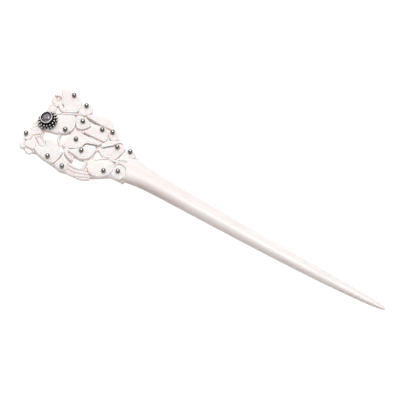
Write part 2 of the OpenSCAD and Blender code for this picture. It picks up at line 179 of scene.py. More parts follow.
def drawn(points, closed=True):
    """Curve through points drawn on the head, in part coordinates."""
    return spline(points, closed) + (HEAD_END, 0)


def line_distance(x, y, line):
    """Distance from each grid point to an open line, and how far along it the nearest point is."""
    nearest = np.full(x.shape, np.inf)
    along = np.zeros(x.shape)
    walked = 0.0
    for (ax, ay), (bx, by) in zip(line, line[1:]):
        ux, uy = bx - ax, by - ay
        length = math.hypot(ux, uy)
        t = np.clip(((x - ax) * ux + (y - ay) * uy) / length ** 2, 0, 1)
        d = np.hypot(x - ax - t * ux, y - ay - t * uy)
        along = np.where(d < nearest, walked + t * length, along)
        nearest = np.minimum(nearest, d)
        walked += length
    return nearest, along


def loop_distance(x, y, loop):
    """Signed distance from each grid point to a closed outline, negative inside it."""
    closed = np.vstack([loop, loop[:1]])
    nearest, _ = line_distance(x, y, closed)
    inside = np.zeros(x.shape, bool)
    for (ax, ay), (bx, by) in zip(closed, closed[1:]):
        if ay != by:
            inside ^= ((ay > y) != (by > y)) & (x < (bx - ax) * (y - ay) / (by - ay) + ax)
    return np.where(inside, -nearest, nearest)


def smooth_min(a, b, blend):
    h = np.clip(0.5 + 0.5 * (b - a) / blend, 0, 1)
    return b + (a - b) * h - blend * h * (1 - h)


def smooth_max(a, b, blend):
    return -smooth_min(-a, -b, blend)


# --- The field of bone ---

def grid_lines(low, high, step):
    return np.arange(low - SURFACE_STEPS * step, high + (SURFACE_STEPS + 1) * step, step)


def lengthwise_lines():
    """Grid lines across the pin: close over the head, wider along the shaft, close at the tip."""
    head = grid_lines(HEAD_END, HEAD_END + FINE_LENGTH, STEP)
    tip = np.cumsum([TIP_STEP * TIP_GROWTH ** k for k in range(TIP_LINES)])
    tip = TIP + 2 * TIP_STEP - np.concatenate([[0], tip])
    shaft, step = [head[-1]], STEP
    while shaft[-1] + step < tip[-1]:
        shaft.append(shaft[-1] + step)
        step = min(step * SHAFT_GROWTH, SHAFT_STEP)
    return np.concatenate([head[:-1], shaft, tip[::-1]])


class Field:
    """Signed distance in mm, negative inside the bone, on a grid of unevenly spaced lines."""

    def __init__(self):
        self.xs = lengthwise_lines()
        self.ys = grid_lines(BONE_LOW[1], BONE_HIGH[1], STEP)
        self.zs = grid_lines(0, RELIEF + 1, STEP)
        self.f = np.full((len(self.xs), len(self.ys), len(self.zs)), FAR, np.float32)

    def columns(self, points, margin):
        """The part of the grid within a margin of some points, with x, y and z to work on there."""
        (x0, y0), (x1, y1) = points.min(0) - margin, points.max(0) + margin
        i = slice(*np.searchsorted(self.xs, (x0, x1)))
        j = slice(*np.searchsorted(self.ys, (y0, y1)))
        x, y = np.meshgrid(self.xs[i], self.ys[j], indexing="ij")
        return (i, j), x, y, self.zs

    def add(self, where, solid, blend):
        self.f[where] = smooth_min(self.f[where], solid, blend)

    def cut(self, where, solid, blend):
        self.f[where] = smooth_max(self.f[where], -solid, blend)


def slab(side, top, bottom, z, edge):
    """Solid between two heights, inside an outline's distance, with its edges rounded."""
    body = smooth_max(side[..., None], z - top[..., None], edge)
    return smooth_max(body, bottom - z, edge)


def hand_tooling(x, y, size=2.3):
    """Slow unevenness of a surface finished by hand, from -1 to 1."""
    return (np.sin(x / size + 1.3 * np.sin(y / size)) + np.sin(1.7 * y / size + 0.8 * np.sin(x / size))) / 2


# --- What is carved ---

@dataclass
class Blade:
    """A wing, petal or leaf with a closed outline, raised from the blank."""

    outline: list
    top: float            # height of its middle, from RELIEF
    drop: float = 0.3     # how far its edge falls below its middle
    dish: float = 0       # how far its middle is hollowed
    border: float = 0     # distance from the edge of the line engraved along it
    veins: tuple = ()     # (x, y, veins to a full turn) of the fan engraved on it
    vein_depth: float = 0.15
    groove: float = 0.46  # depth of the groove round its foot

    def height(self, x, y, depth):
        """Height of its front, where depth is the distance in from its outline."""
        slope = 1 - np.clip(depth / WING_SLOPE, 0, 1)
        h = RELIEF + self.top - self.drop * slope ** 2
        h -= self.dish * smoothstep(depth, 0.25, 1.5)
        h += TOOLING * hand_tooling(x, y)
        veined = smoothstep(depth, 0.25, 0.8)
        if self.border:
            h -= LINE * np.exp(-((depth - self.border) / LINE) ** 2)
            veined = smoothstep(depth, self.border + 0.05, self.border + 0.5)
        if self.veins:
            h -= self.vein_depth * self.fan(x, y) * veined
        return h

    def fan(self, x, y):
        """Slightly wavy rays from the root of the veins, from 0 between them to 1 along them."""
        root_x, root_y, count = self.veins
        dx, dy = x - HEAD_END - root_x, y - root_y
        reach = np.hypot(dx, dy)
        bend = 0.04 * np.sin(reach * 0.9)
        wave = 0.5 + 0.5 * np.cos(count * (np.arctan2(dy, dx) + bend))
        return wave ** 5 * smoothstep(reach, 1.2, 3)

    def carve(self, field):
        loop = drawn(self.outline)
        where, x, y, z = field.columns(loop, MARGIN)
        side = loop_distance(x, y, loop)
        top = self.height(x, y, -side)
        carve_groove(field, where, side, RELIEF + self.top - self.groove, z)
        field.add(where, slab(side, top, ROOT, z, WING_ROUNDING), FILLET)


@dataclass
class Stem:
    """A stem, feeler or body: a rounded rib along a line."""

    line: list
    width: float
    top: float            # height of its crest, from RELIEF
    taper: float = 0      # share of its width that it loses by its far end
    rings: float = 0      # spacing of the rings cut across it, 0 for none
    flutes: int = 0       # grooves along it

    def carve(self, field):
        line = drawn(self.line, closed=False)
        where, x, y, z = field.columns(line, self.width + MARGIN)
        distance, along = line_distance(x, y, line)
        length = np.hypot(*np.diff(line, axis=0).T).sum()
        half = self.width / 2 * (1 - self.taper * along / length)
        across = np.clip(distance / half, 0, 1)
        top = RELIEF + self.top - 0.75 * half * (1 - np.sqrt(1 - across ** 2 * 0.96))
        if self.rings:
            top -= RING_DEPTH * (0.5 + 0.5 * np.cos(2 * np.pi * along / self.rings)) ** 4
        if self.flutes:
            wave = 0.5 - 0.5 * np.cos(2 * np.pi * self.flutes * across)
            top -= FLUTE_DEPTH * wave * smoothstep(1 - across, 0, 0.3)
        carve_groove(field, where, distance - half, RELIEF + self.top - STEM_GROOVE, z)
        field.add(where, slab(distance - half, top, ROOT, z, STEM_ROUNDING), FILLET)


def carve_groove(field, where, side, bottom, z):
    """Clears the room for a raised shape, with the narrow groove a carver leaves round its foot."""
    field.cut(where, np.maximum(side[..., None] - GROOVE_REACH, bottom - z), GROOVE_ROUNDING)


# Upper left butterfly
WING_A1 = [
    [3, 17.1], [3.4, 15.5], [5, 14], [6.3, 12.4], [7.3, 10.9], [8.4, 9.6], [8, 8.2], [8.6, 7.2],
    [10.5, 7.9], [13, 9.2], [14.5, 10.4], [14.8, 12.2], [14.6, 14.4], [13.3, 16.3], [11, 17.4], [7.2, 17.8]]
WING_A2 = [
    [14.9, 11.3], [14.6, 13.3], [15, 15.2], [16.5, 16.7], [18.3, 16.8], [19.8, 15.8], [20.4, 14.2],
    [19.8, 12.6], [18.8, 11.2], [17.2, 10.5], [15.6, 10.4]]
WING_A3 = [
    [15.4, 8.6], [16.8, 9.9], [19.5, 10], [21.5, 9.4], [23.2, 8], [23, 6.8], [22, 5.3], [20.6, 4.2],
    [19, 3.8], [17.8, 4.4], [16.6, 6.4]]
WING_A4 = [
    [9.3, 6], [11, 7.4], [13, 8.1], [14.8, 8.5], [16.1, 7], [17.2, 4.9], [17.6, 3], [17.1, 1], [15.7, -0.9],
    [13.6, -2.4], [11.5, -3.2], [9, -3.5], [6.5, -2.5], [6, 1], [7.5, 4.4]]
BODY_A = [[9.5, 6.6], [12.5, 8.2], [16.5, 10.3]]

# Lower left butterfly
WING_B1 = [
    [9.8, -8.4], [11.5, -7.3], [13.3, -7.2], [15.5, -7.9], [18, -8.9], [19.5, -9.6], [19.7, -12],
    [19.4, -14.5], [18.8, -16.2], [16.5, -16.7], [13.5, -16.4], [10.5, -15.8], [8.3, -14.8], [7.7, -13.2],
    [8.6, -11.5], [9.4, -10]]
WING_B2 = [
    [20.2, -10.2], [20.2, -12.5], [19.6, -15], [19.6, -16.6], [21, -17.3], [23, -17.6], [25, -16.8],
    [25.4, -15.4], [24.8, -13.8], [23.5, -12.4], [22, -11.3]]
WING_B3 = [
    [18.2, 1.6], [19.5, 2.7], [22, 2.8], [25, 2.7], [29, 3], [31.8, 3], [31.5, 1.7], [30.2, 0.7],
    [27.5, -0.1], [26, -0.9], [25.6, -2.4], [24.3, -4.4], [22, -5.9], [20, -6.9], [17.8, -6.9],
    [16.9, -5.2], [17.2, -3], [17.8, -0.8]]
WING_B4 = [
    [20.7, -7.3], [22.6, -5.8], [24.6, -4.3], [25.9, -2.6], [26.4, -1.1], [28.5, -0.2], [30.4, 0.3],
    [31.4, -0.9], [31.7, -3], [31.4, -5], [30.4, -6.8], [28.8, -8], [27, -8.5], [24.5, -8.1], [22.5, -7.9]]
BODY_B = [[20.3, -7.6], [21.3, -9.2], [24.6, -10.9]]

# Lower right butterfly
WING_C1 = [
    [32.2, -9], [32.8, -7.3], [34.8, -5.3], [37, -3.6], [39.5, -2.5], [41.5, -2.6], [42.6, -3.8],
    [42.9, -6], [42.7, -8.2], [41.5, -10], [39.5, -11.6], [37, -12.5], [34.8, -12.4], [33.6, -11.4],
    [32.5, -10.4]]
WING_C2 = [
    [43.2, -2.9], [44.5, -2], [46.5, -1.9], [48, -3.2], [48.9, -5.2], [48.7, -7.2], [47.7, -8.3],
    [45.5, -8.4], [43.7, -7.8], [43.3, -5.8]]
WING_C3 = [
    [33.2, -0.8], [33.8, 0.8], [35, 2.2], [36.8, 3.8], [38, 5.2], [38.3, 6.4], [40, 7.1], [41.5, 6.6],
    [42.3, 5], [42.2, 2.8], [41.6, 0.8], [41.2, -0.6], [39, -1.3], [37, -2.1], [35.4, -2.3]]
WING_C4 = [
    [42.6, 6.3], [44.5, 7.2], [46.5, 7], [48, 5.4], [48.2, 4.4], [47, 2.8], [45.4, 1.4], [43.5, 0.8],
    [42.2, 1.3], [42.9, 3.2], [43, 4.8]]
BODY_C = [[39.4, -1.9], [41.4, -1.5], [43.6, -1], [46, 0.3]]

# Upper right butterfly
WING_D1 = [
    [22.2, 3.8], [26, 3.8], [30, 4], [32.4, 4.2], [33, 5.6], [32.4, 7.3], [31.6, 8.9], [30.6, 10], [28, 10],
    [25.5, 9.7], [23.8, 8.6], [23.9, 7.2], [22.9, 5.5]]
WING_D2 = [
    [32.2, 11.3], [33.5, 11.9], [35.3, 11.2], [37, 9.6], [38.2, 8.2], [37, 7], [35.2, 6.6], [33.6, 6.8],
    [32.6, 8], [32, 9.5]]
WING_D3 = [
    [19.2, 11.2], [19.9, 12.6], [22, 14], [25, 14.9], [28, 15], [30.8, 14.1], [32.8, 12.6], [33.2, 11.6],
    [31, 11], [28, 10.8], [25.5, 10.7], [22, 10.9]]

# Leaf between the two right-hand butterflies
LEAF = [
    [32.3, 2.8], [33.2, 1.6], [35, 3.2], [36.5, 4.6], [37.4, 5.9], [38.5, 7.2], [40, 7.8], [38.2, 8.2],
    [36.5, 7.2], [34.5, 6.2], [33.2, 5.2]]

# Curled lobes beside the upper left butterfly
CURL_1 = [
    [1.2, 12], [1.5, 10.7], [3.1, 9.1], [4.9, 8.2], [5.8, 8.4], [5.5, 9.4], [4.1, 10.6], [2.9, 11.8],
    [1.9, 12.5]]
CURL_2 = [
    [5.5, 9.6], [6.4, 8.5], [7.9, 7.6], [8.8, 7.8], [8.4, 9.1], [7.4, 10.1], [6.2, 10.8], [5.4, 10.5]]
CURL_3 = [[2, 8.6], [3.4, 9], [5.2, 8.2], [5.9, 7], [5.6, 5.4], [4, 4.4], [2.6, 5], [1.9, 6.8]]
CURL_4 = [[6, 6], [6.6, 7.1], [8.2, 7.2], [8.9, 6.8], [8.1, 5.6], [7.1, 5.1]]
CURL_5 = [[3.1, 13], [3.4, 11.9], [4.2, 11.3], [4.7, 12], [4.4, 13], [3.6, 13.4]]
CURL_ARCH = [[2.2, 12.8], [4, 13.6], [5.5, 13.4], [6.3, 12], [7, 10.8]]

# Petals of the flower at the end of the head
PETAL_1 = [
    [3.1, -9], [2.2, -7.7], [1.9, -6.3], [2.8, -5.1], [4, -4.1], [5.5, -4.5], [6.6, -5.6], [6.6, -6.8],
    [5.2, -7.5], [4.3, -8.5]]
PETAL_2 = [
    [0.3, -9.6], [2.2, -8.7], [3.7, -9.3], [4, -10.8], [3.2, -12.3], [1.8, -12.6], [0.6, -11.8],
    [0.1, -10.6]]
PETAL_3 = [
    [4.2, -10.2], [6, -11], [7.4, -12.2], [8, -14], [7.3, -15.2], [5.2, -15.3], [3.4, -15], [2.6, -13.6],
    [3.2, -12.4], [4.1, -11.4]]
PETAL_4 = [
    [2, -12.7], [1.1, -13.7], [0.8, -15.2], [1.4, -16.3], [2.6, -16.9], [3.8, -16.1], [4.1, -15.2],
    [3.1, -13.8]]
PETAL_5 = [
    [4.1, -16.4], [4.8, -17.4], [6, -17.8], [7.1, -17.6], [7.7, -16.8], [7.9, -15.7], [6.6, -15.6],
    [5.1, -15.7]]
PETAL_6 = [
    [5, -9.2], [6.6, -10.1], [8.1, -11.3], [9.6, -12.2], [10.6, -12], [11.2, -10.9], [10.8, -9.7],
    [9.9, -8.8], [8.9, -8], [8.1, -7.5], [6.9, -7.7], [5.8, -8.3]]
PETAL_7 = [
    [1.3, -6.9], [0.5, -5.4], [0.3, -3.7], [0.6, -2.3], [1.4, -1.6], [2.6, -2.3], [3.4, -3.6], [2.5, -4.7],
    [1.9, -5.8]]

# Leaf stems that sweep along the lower edge
STEM_1 = [[24.5, -12.6], [27, -13], [30.5, -12.4], [33, -11.8]]
STEM_2 = [[23.8, -14], [25.5, -14.6], [28, -14.7], [31, -13.9], [34, -12.9]]
STEM_3 = [[24.3, -16], [27, -16.5], [30, -16], [32.5, -15], [35.2, -13.7]]
STEM_4 = [[31, -16.6], [33.5, -16], [36, -14.4]]
STEM_5 = [[30.6, -8], [31, -10], [31.3, -12]]
STEM_6 = [[31.7, -8.3], [32.7, -6.2], [34.4, -4.3], [36.2, -2.7], [37.9, -1.7]]
FEELER = [[13.5, -2.8], [14.6, -5.2], [16.5, -7]]

# Pierced web behind the carving: its outer edge, from the upper left clockwise, and its openings
WEB_EDGE = [
    [3.4, 16.4], [7, 17.1], [10.5, 16.6], [13, 15.4], [14.8, 14.7], [16.5, 16.2], [18.5, 16.3], [20, 15],
    [20.6, 13.4], [23, 14.2], [26, 14.7], [29, 14.4], [32, 12.9], [34, 11.5], [36.5, 9.7], [38.2, 8.1],
    [41, 6.8], [44.5, 6.9], [46.8, 6.4], [48, 5.2], [50, 4.4], [50, -7], [48, -8], [45.5, -8.2],
    [43.5, -8.4], [41.5, -9.7], [38.5, -11.8], [36, -13.4], [33, -15.6], [30, -16.4], [26, -16.7],
    [23, -17.4], [20.5, -17], [17, -16.5], [13, -16.2], [9.5, -15.4], [7.6, -16], [6, -17], [4.5, -16.6],
    [3, -16.1], [1.5, -15.7], [1, -13.6], [0.9, -11.5], [0.7, -9.8], [1.5, -8.4], [1.4, -6], [1.7, -3.8],
    [2.4, -1], [2.4, 3], [2.4, 5], [2.3, 7.5], [1.8, 10.5], [1.9, 12.2], [3.4, 13.2], [4, 14.5]]
OPENINGS = [
    [[7, -3.6], [9, -2.9], [12.6, -2.2], [13.4, -3.5], [14.3, -5.4], [15.2, -6.9], [13, -6.9], [11.3, -7],
     [9.6, -8], [8.4, -7.6], [7.6, -6]],
    [[14.3, -1.6], [15.8, -0.3], [17.2, 1.2], [17.3, -1.5], [16.7, -4], [16.6, -6], [15.3, -4.4]],
    [[24.7, -8.3], [27, -8.2], [29.6, -7.7], [30.2, -9.4], [30.4, -11.6], [27.5, -12.1], [25.1, -11.8],
     [25.3, -10.2]],
    [[31.9, -0.3], [33.8, -1.2], [35.7, -2.1], [33.9, -3.5], [32.3, -5.6], [31.9, -3.9]]]
SLITS = [[[19.5, 10.4], [23, 10.4], [26.4, 10.2]],
         [[21.2, 3.2], [23, 3.2], [25.4, 3.1]],
         [[25.8, -1.9], [26.3, -0.8], [28.5, 0.2], [30.6, 0.9]],
         [[33.6, 0.9], [35, 2.8], [37.4, 4.9]]]

# In carving order: what comes later stands in front
CARVING = [
    Stem(STEM_4, 1.0, -1.2),
    Stem(STEM_3, 1.6, -0.8, flutes=1),
    Stem(STEM_2, 1.7, -0.6, flutes=1),
    Stem(STEM_1, 1.2, -0.9),
    Stem(STEM_5, 1.6, -0.7, flutes=1),
    Stem(STEM_6, 1.1, -0.7),
    Blade(PETAL_7, -1.1, drop=0.4, dish=0.3, veins=(3, -6, 30)),
    Blade(PETAL_1, -0.6, drop=0.4, dish=0.4, veins=(5, -9, 34)),
    Blade(PETAL_5, -0.7, drop=0.5, dish=0.2),
    Blade(PETAL_4, -0.5, drop=0.5, dish=0.25, veins=(4, -12, 30)),
    Blade(CURL_3, -0.8, dish=0.3, veins=(6, 8.4, 26)),
    Blade(CURL_1, -0.4, dish=0.35, veins=(6, 8.6, 26)),
    Blade(CURL_4, -0.5, dish=0.25),
    Blade(CURL_5, -0.7, drop=0.4),
    Blade(CURL_2, -0.2, dish=0.2),
    Stem(CURL_ARCH, 1.0, -0.1),
    Blade(WING_D3, -0.4, drop=0.45, veins=(34, 9.8, 64), vein_depth=0.11),
    Blade(WING_D1, -0.1, border=0.75, veins=(33.8, 6.2, 60), vein_depth=0.11),
    Blade(WING_D2, -0.2, border=0.7, veins=(32.6, 6.4, 34)),
    Blade(LEAF, -0.2, drop=0.45, dish=0.1, veins=(32, 0, 40)),
    Blade(WING_A2, -0.2, border=0.7, veins=(15.5, 10, 36)),
    Blade(WING_A1, 0, border=0.8, veins=(14.5, 8.6, 56), vein_depth=0.12),
    Blade(WING_A3, 0, border=0.8, veins=(15.2, 9, 42)),
    Blade(WING_A4, -0.1, border=0.9, veins=(12.5, 8.6, 52), vein_depth=0.12),
    Stem(BODY_A, 1.1, -0.15, rings=0.9, taper=0.25),
    Stem(FEELER, 1.1, -0.8, taper=0.3),
    Blade(WING_B3, 0, border=0.85, veins=(19.5, -7.5, 48), vein_depth=0.12),
    Blade(WING_B4, -0.1, border=0.85, veins=(21.4, -8.4, 48)),
    Blade(WING_B2, -0.1, border=0.7, veins=(20.8, -10, 44)),
    Blade(WING_B1, 0, border=0.8, veins=(20.4, -8.8, 52)),
    Blade(PETAL_3, -0.2, drop=0.5, dish=0.25, veins=(4.4, -10, 30), groove=1.1),
    Blade(PETAL_2, -0.2, drop=0.5),
    Blade(PETAL_6, 0.15, drop=0.4, dish=1.1, groove=1.2),
    Stem(BODY_B, 2.2, 0.2, rings=1.0, taper=0.35),
    Blade(WING_C4, 0, border=0.7, veins=(42, 0.6, 40)),
    Blade(WING_C3, 0, drop=0.4, veins=(42, -1.6, 44), vein_depth=0.18),
    Blade(WING_C2, 0, border=0.75, veins=(42.8, -1.8, 40)),
    Blade(WING_C1, 0.1, border=0.8, veins=(42.4, -2, 50)),
    Stem(BODY_C, 1.5, 0.15, rings=0.95, taper=0.3),
]

# Neck and shaft: distance from the tip, share of SHAFT_WIDTH, share of SHAFT_HEIGHT
TAPER = [
    [0, 0.03, 0.04], [0.5, 0.14, 0.15], [1.5, 0.21, 0.23], [4, 0.3, 0.33], [8, 0.38, 0.42],
    [16, 0.49, 0.55], [30, 0.61, 0.67], [43, 0.68, 0.75], [57, 0.74, 0.82], [70, 0.8, 0.87],
    [84, 0.86, 0.92], [97, 0.93, 0.97], [111, 1, 1], [119, 1.07, 1], [124, 1.15, 0.98], [128, 1.28, 0.95],
    [132, 1.42, 0.93], [136, 1.54, 0.9]]


def carve_web(field):
    """The flat blank of the head, pierced through."""
    edge = drawn(WEB_EDGE)
    where, x, y, z = field.columns(edge, MARGIN)
    side = loop_distance(x, y, edge)
    for opening in OPENINGS:
        side = np.maximum(side, -loop_distance(x, y, drawn(opening)))
    for slit in SLITS:
        from_slit, _ = line_distance(x, y, drawn(slit, closed=False))
        side = np.maximum(side, SLIT_WIDTH / 2 - from_slit)
    field.add(where, slab(side, np.full(side.shape, WEB), 0, z, WEB_ROUNDING), FILLET)


def pierce_slits(field):
    """The narrow slits go through the wings that overhang them too."""
    for slit in SLITS:
        line = drawn(slit, closed=False)
        where, x, y, _ = field.columns(line, MARGIN)
        from_slit, _ = line_distance(x, y, line)
        field.cut(where, from_slit[..., None] - SLIT_WIDTH * 0.42, GROOVE_ROUNDING)


def carve_shaft(field):
    """The neck and the shaft, ridged in front and flatter behind."""
    stations, widths, heights = spline(TAPER, closed=False).T
    from_tip = TIP - field.xs[:, None, None]
    width = SHAFT_WIDTH * np.interp(from_tip, stations, widths)
    height = SHAFT_HEIGHT * np.interp(from_tip, stations, heights)
    lift = TIP_LIFT * np.clip(1 - from_tip / NECK_REACH, 0, 1) ** 3
    along = np.clip(from_tip / BOW_REACH, 0, 1)
    centre = SHAFT_Y - SHAFT_BOW * np.sin(np.pi * along) - TIP_ASIDE * (1 - along)
    up = field.zs - SHAFT_HEIGHT * BACK_SHARE - lift
    front = up > 0
    power = np.where(front, RIDGE_POWER, BACK_POWER)
    u = np.abs((field.ys[:, None] - centre) / (width / 2))
    v = np.abs(up / np.where(front, height * (1 - BACK_SHARE), height * BACK_SHARE))
    section = ((u ** power + v ** power) ** (1 / power) - 1) * height / 2
    ends = np.maximum(-from_tip, from_tip - NECK_REACH - NECK_OVERLAP)
    field.add(..., smooth_max(section, ends, WEB_ROUNDING).astype(np.float32), NECK_FILLET)


def carve_seat(field, matrix):
    """The leaning boss under the rosette, and the room that the rosette needs above it."""
    origin, axis = np.array(matrix.translation) / MM, np.array(matrix.col[2][:3])
    where, x, y, z = field.columns(origin[None, :2], ROSETTE_RADIUS + MARGIN)
    dx, dy, dz = x[..., None] - origin[0], y[..., None] - origin[1], z - origin[2]
    height = dx * axis[0] + dy * axis[1] + dz * axis[2]
    radius = np.sqrt(np.maximum(dx ** 2 + dy ** 2 + dz ** 2 - height ** 2, 0))
    boss = np.maximum(np.maximum(radius - PLATE_RADIUS + SEAT_ROOM, height), -z)
    field.add(where, boss, BOSS_FILLET)
    field.cut(where, np.maximum(radius - ROSETTE_RADIUS - SEAT_ROOM, SLIP - height), FILLET)


def sculpt(matrix):
    """The whole bone as a field, with its seat for the rosette whose frame the matrix is."""
    field = Field()
    carve_web(field)
    carve_shaft(field)
    for shape in CARVING:
        shape.carve(field)
    pierce_slits(field)
    carve_seat(field, matrix)
    return field


def box_blur(values, reach):
    """Mean over the square that reaches so many grid steps round each point, zero beyond the edges."""
    size = 2 * reach + 1
    for axis in (0, 1):
        padding = [(reach + 1, reach) if k == axis else (0, 0) for k in (0, 1)]
        total = np.pad(values, padding).cumsum(axis)
        ends = total.take(range(size, total.shape[axis]), axis)
        starts = total.take(range(total.shape[axis] - size), axis)
        values = (ends - starts) / size
    return values


def recess(field, points):
    """How deep each point of the head lies below the carving round it, from 0 to 1: where grime and painted
    shade go.
    """
    solid = field.f < 0
    top_index = solid.shape[2] - 1 - solid[:, :, ::-1].argmax(2)
    top = np.where(solid.any(2), field.zs[top_index], 0)
    around = box_blur(top, round(GRIME_SHADE_AROUND / STEP))
    x, y, z = points.T
    i, j = (np.searchsorted(lines, value).clip(0, len(lines) - 1)
            for lines, value in ((field.xs, x), (field.ys, y)))
    depth = np.interp(around[i, j] - z, GRIME_SHADE_DEPTHS, (0, 1))
    on_head = 1 - smoothstep(x - HEAD_END, *GRIME_SHADE_END)
    return depth * on_head * smoothstep(z, *GRIME_SHADE_HEIGHTS)


# --- Meshes ---

def surface_net(field):
    """The field's zero surface: a point in each cell that it crosses, a quad over each grid line."""
    f, lines = field.f, (field.xs, field.ys, field.zs)
    inside = f < 0
    shape = np.array(f.shape) - 1
    corners = list(product((0, 1), repeat=3))
    full = sum(inside[tuple(slice(o, o + n) for o, n in zip(corner, shape))].astype(np.uint8)
               for corner in corners)
    cells = np.argwhere((full > 0) & (full < 8))
    number = np.full(shape, -1, np.int32)
    number[tuple(cells.T)] = np.arange(len(cells))
    total, crossings = np.zeros((len(cells), 3)), np.zeros(len(cells))
    quads = []
    for axis in range(3):
        unit = np.eye(3, dtype=int)[axis]
        for corner in corners:
            if corner[axis]:
                continue
            near = cells + corner
            a, b = f[tuple(near.T)], f[tuple((near + unit).T)]
            hit = (a < 0) != (b < 0)
            near, share = near[hit], (a[hit] / (a[hit] - b[hit]))
            point = np.stack([line[near[:, k]] for k, line in enumerate(lines)], 1)
            point[:, axis] += share * np.diff(lines[axis])[near[:, axis]]
            total[hit] += point
            crossings[hit] += 1
        lower = inside.take(range(shape[axis]), axis)
        upper = inside.take(range(1, shape[axis] + 1), axis)
        ends = np.argwhere(lower != upper)
        side, other = (np.eye(3, dtype=int)[(axis + k) % 3] for k in (1, 2))
        ring = np.stack([number[tuple((ends - shift).T)]
                         for shift in (side + other, other, 0 * side, side)], 1)
        outward = lower[tuple(ends.T)]
        quads.append(np.where(outward[:, None], ring, ring[:, ::-1]))
    return total / crossings[:, None], np.vstack(quads).tolist()


def linked(name, data):
    """A new object in the scene, from its mesh, light or camera data."""
    obj = bpy.data.objects.new(name, data)
    bpy.context.scene.collection.objects.link(obj)
    return obj


def mesh_object(name, points, faces, matrix=None):
    """A smooth-shaded object from points in mm and faces."""
    mesh = bpy.data.meshes.new(name)
    mesh.from_pydata((np.asarray(points) * MM).tolist(), [], faces)
    if matrix is not None:
        mesh.transform(matrix)
    mesh.shade_smooth()
    return linked(name, mesh)


def bmesh_object(name, bm):
    """An object from a bmesh, which is freed."""
    mesh = bpy.data.meshes.new(name)
    bm.to_mesh(mesh)
    bm.free()
    return linked(name, mesh)


def thin_out(obj, triangles):
    """Collapses an object's mesh to about so many triangles."""
    count = sum(len(p.vertices) - 2 for p in obj.data.polygons)
    modifier = obj.modifiers.new("thin", "DECIMATE")
    modifier.ratio = min(1, triangles / count)
    evaluated = obj.evaluated_get(bpy.context.evaluated_depsgraph_get())
    thin = bpy.data.meshes.new_from_object(evaluated)
    obj.modifiers.clear()
    dense, obj.data = obj.data, thin
    bpy.data.meshes.remove(dense)


def mark(obj, name, values):
    """Stores a number per point, or one for them all, for the material."""
    attribute = obj.data.attributes.new(name, "FLOAT", "POINT")
    values = np.broadcast_to(values, len(obj.data.vertices))
    attribute.data.foreach_set("value", np.ascontiguousarray(values, np.float32))


def per_point(obj, what):
    """Three numbers for each point of an object: its "co" in metres, or its "normal"."""
    values = np.empty(len(obj.data.vertices) * 3, np.float32)
    obj.data.vertices.foreach_get(what, values)
    return values.reshape(-1, 3)


def points_of(obj):
    """An object's points, in mm."""
    return per_point(obj, "co") / MM


def flank_shade(obj):
    """Where painted shade darkens the shaft's lower side and the head's rim, from 0 to 1."""
    downward = smoothstep(-per_point(obj, "normal")[:, 1], 0.15, 0.75)
    x, _, z = points_of(obj).T
    head_front = smoothstep(z, *FRONT_HEIGHTS) * (1 - smoothstep(x - HEAD_END, *FRONT_END))
    fading = 1 - 0.4 * smoothstep(x, -30, 0)
    return downward * (1 - head_front) * fading


def make_bone(matrix):
    field = sculpt(matrix)
    bone = mesh_object("bone_carving", *surface_net(field))
    thin_out(bone, BONE_TRIANGLES)
    bone.data.shade_smooth()
    # Masks for the grime and painted shade in the grooves and for the painted shade on the lower side
    mark(bone, "recess", recess(field, points_of(bone)))
    mark(bone, "flank_shade", flank_shade(bone))
    return bone


def lathe(profile, sides, wobble=0.0, seed=0):
    """Points and quads of a profile of (radius, height) turned about Z, uneven by a share of its radius."""
    points, faces = [], []
    for radius, height in profile:
        for k in range(sides):
            a = 2 * math.pi * k / sides
            p = Vector((radius * math.cos(a), radius * math.sin(a), height))
            uneven = 1 + wobble * noise.noise(p * 0.9 + Vector((seed, 0, 0)))
            points.append((p.x * uneven, p.y * uneven, p.z))
    for i in range(len(profile) - 1):
        for k in range(sides):
            a, b = i * sides + k, i * sides + (k + 1) % sides
            faces.append((a, b, b + sides, a + sides))
    return points, faces


def clean(obj):
    """Welds doubled points and closes what a lathe leaves at its axis."""
    bm = bmesh.new()
    bm.from_mesh(obj.data)
    bmesh.ops.remove_doubles(bm, verts=bm.verts, dist=0.002 * MM)
    bmesh.ops.dissolve_degenerate(bm, edges=bm.edges, dist=0.001 * MM)
    bmesh.ops.recalc_face_normals(bm, faces=bm.faces)
    bm.to_mesh(obj.data)
    bm.free()
    obj.data.shade_smooth()
    return obj


def arc(centre, radius, start, stop, steps):
    """Points of an arc in a lathe profile, angles in degrees from the level, centre as (radius, height)."""
    angles = np.radians(np.linspace(start, stop, steps))
    return [(centre[0] + radius * math.cos(a), centre[1] + radius * math.sin(a)) for a in angles]


# --- Silver ---

def turned(name, profile, sides, wobble, matrix, tarnish_and_shade):
    """A piece turned on the rosette's axis, equally tarnished all over."""
    piece = clean(mesh_object(name, *lathe(profile, sides, wobble), matrix))
    mark(piece, "tarnish_and_shade", tarnish_and_shade)
    return piece


def make_ball_stud(node, number):
    """A ball on a peg, with a small bead where it meets the bone."""
    low, high = mm_box(node)
    radius = (high[0] - low[0]) / 2
    centre = np.array([(low[0] + high[0]) / 2, (low[1] + high[1]) / 2, high[2] - radius])
    peg_end = low[2] - centre[2]
    foot = -0.8 * radius
    profile = [(0, peg_end), (PEG_RADIUS - 0.08, peg_end), (PEG_RADIUS, peg_end + 0.1),
               (PEG_RADIUS, foot - 0.15), (radius * 0.66, foot), (radius * 0.7, foot + 0.06),
               (radius * 0.68, foot + 0.11)]
    profile += arc((0, 0), radius, -46, 90, 26)
    obj = mesh_object(f"stud_{number:02d}", *lathe(profile, 44, wobble=0.03, seed=number * 7.3),
                      Matrix.Translation(Vector(centre * MM)))
    clean(obj)
    # Polished cap and blackened sides: partly tarnish, partly painted shade and dark reflection, the cap
    # bright where the highlight falls
    above = points_of(obj)[:, 2] - centre[2]
    mark(obj, "tarnish_and_shade", 1 - smoothstep(above, 0.1 * radius, 0.95 * radius))
    return obj


